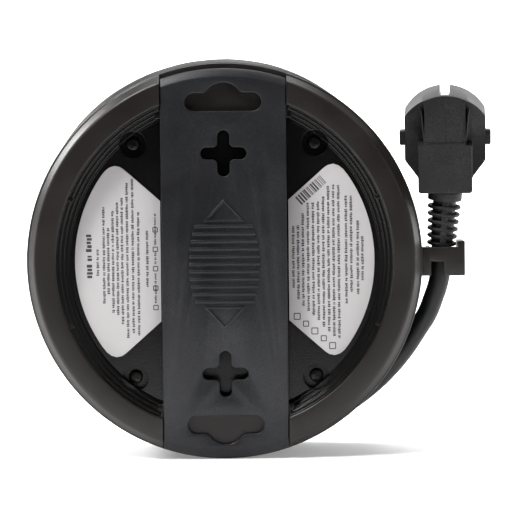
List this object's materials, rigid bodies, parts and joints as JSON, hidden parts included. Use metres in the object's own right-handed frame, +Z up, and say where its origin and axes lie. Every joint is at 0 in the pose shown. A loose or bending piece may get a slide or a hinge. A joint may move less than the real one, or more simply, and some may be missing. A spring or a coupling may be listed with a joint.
{
  "type": "extension cord reel",
  "caption": "Hand-wound extension cord reel with earthed sockets in its face, a sliding hanging strap across its back and an angled plug in a rim clip.",
  "frame": {"origin": "on the floor under the middle of the shells' box, with the reel standing on its rims", "axes": "+X towards the cord clip, +Y out of the sockets along the drum's axis, +Z up along the strap"},
  "size_m": [0.2038, 0.0686, 0.1725],
  "materials": {
    "shell_plastic": "brownish black moulded plastic with a fine satin texture",
    "strap_plastic": "cool dark grey moulded plastic with a fine spark-eroded grain",
    "label_film": "light grey printed film label, slightly glossy",
    "screw_steel": "dark zinc-plated thread-forming screw",
    "insert_plastic": "black moulded socket insert, smooth",
    "carrier_plastic": "natural off-white flame-retardant plastic",
    "contact_steel": "nickel-plated spring strip",
    "contact_brass": "stamped brass strip",
    "cutout_plastic": "black moulded switch body",
    "button_red": "red glossy reset button",
    "cord_pvc": "black flexible sheath with a soft sheen",
    "plug_pvc": "black overmoulded plug and strain relief, semi-matte",
    "pin_nickel": "nickel-plated plug pin or contact",
    "lead_brown": "brown core insulation",
    "lead_blue": "blue core insulation",
    "lead_green": "green and yellow core insulation"
  },
  "bodies": {
    "reel": {"back_shell": "shell_plastic", "label_left": "label_film", "label_right": "label_film", "case_screw_1": "screw_steel", "case_screw_2": "screw_steel", "case_screw_3": "screw_steel", "case_screw_4": "screw_steel", "front_shell": "shell_plastic", "socket_insert_1": "insert_plastic", "socket_insert_2": "insert_plastic", "socket_insert_3": "insert_plastic", "socket_insert_4": "insert_plastic", "earth_clip_1": "contact_steel", "earth_clip_2": "contact_steel", "earth_clip_3": "contact_steel", "earth_clip_4": "contact_steel", "carrier_screw_1": "screw_steel", "carrier_screw_2": "screw_steel", "carrier_screw_3": "screw_steel", "carrier_screw_4": "screw_steel", "contact_carrier": "carrier_plastic", "contact_cover": "carrier_plastic", "live_bus": "contact_brass", "neutral_bus": "contact_brass", "earth_bus": "contact_brass", "thermal_cutout": "cutout_plastic", "bimetal_disc": "contact_brass", "cutout_terminal_in": "contact_brass", "cutout_terminal_out": "contact_brass", "inner_cord": "cord_pvc", "cord_clamp": "carrier_plastic", "clamp_screw_1": "screw_steel", "clamp_screw_2": "screw_steel", "live_lead": "lead_brown", "neutral_lead": "lead_blue", "earth_lead": "lead_green", "cutout_lead": "lead_brown", "cord_winding": "cord_pvc", "cord_tail": "cord_pvc", "strain_relief": "plug_pvc", "plug_body": "plug_pvc", "plug_pin_left": "pin_nickel", "plug_pin_right": "pin_nickel", "plug_earth_top": "pin_nickel", "plug_earth_bottom": "pin_nickel"},
    "strap": {"strap": "strap_plastic"},
    "reset_button": {"reset_button": "button_red"},
    "shutter_1": {"shutter_1": "carrier_plastic"},
    "shutter_2": {"shutter_2": "carrier_plastic"},
    "shutter_3": {"shutter_3": "carrier_plastic"},
    "shutter_4": {"shutter_4": "carrier_plastic"}
  },
  "joints": [
    {"name": "strap_slide", "type": "slide", "parent": "reel", "child": "strap", "axis": [0, 0, 1], "range_m": [-0.021, 0.021]},
    {"name": "reset_press", "type": "slide", "parent": "reel", "child": "reset_button", "axis": [0, -1, 0], "range_m": [0, 0.0025], "stiffness_N_per_m": 1200, "springref_m": -0.001},
    {"name": "shutter_slide_1", "type": "slide", "parent": "reel", "child": "shutter_1", "axis": [0.7071, 0, 0.7071], "range_m": [0, 0.0065], "stiffness_N_per_m": 150, "springref_m": -0.002},
    {"name": "shutter_slide_2", "type": "slide", "parent": "reel", "child": "shutter_2", "axis": [-0.7071, 0, 0.7071], "range_m": [0, 0.0065], "stiffness_N_per_m": 150, "springref_m": -0.002},
    {"name": "shutter_slide_3", "type": "slide", "parent": "reel", "child": "shutter_3", "axis": [-0.7071, 0, -0.7071], "range_m": [0, 0.0065], "stiffness_N_per_m": 150, "springref_m": -0.002},
    {"name": "shutter_slide_4", "type": "slide", "parent": "reel", "child": "shutter_4", "axis": [0.7071, 0, -0.7071], "range_m": [0, 0.0065], "stiffness_N_per_m": 150, "springref_m": -0.002}
  ]
}
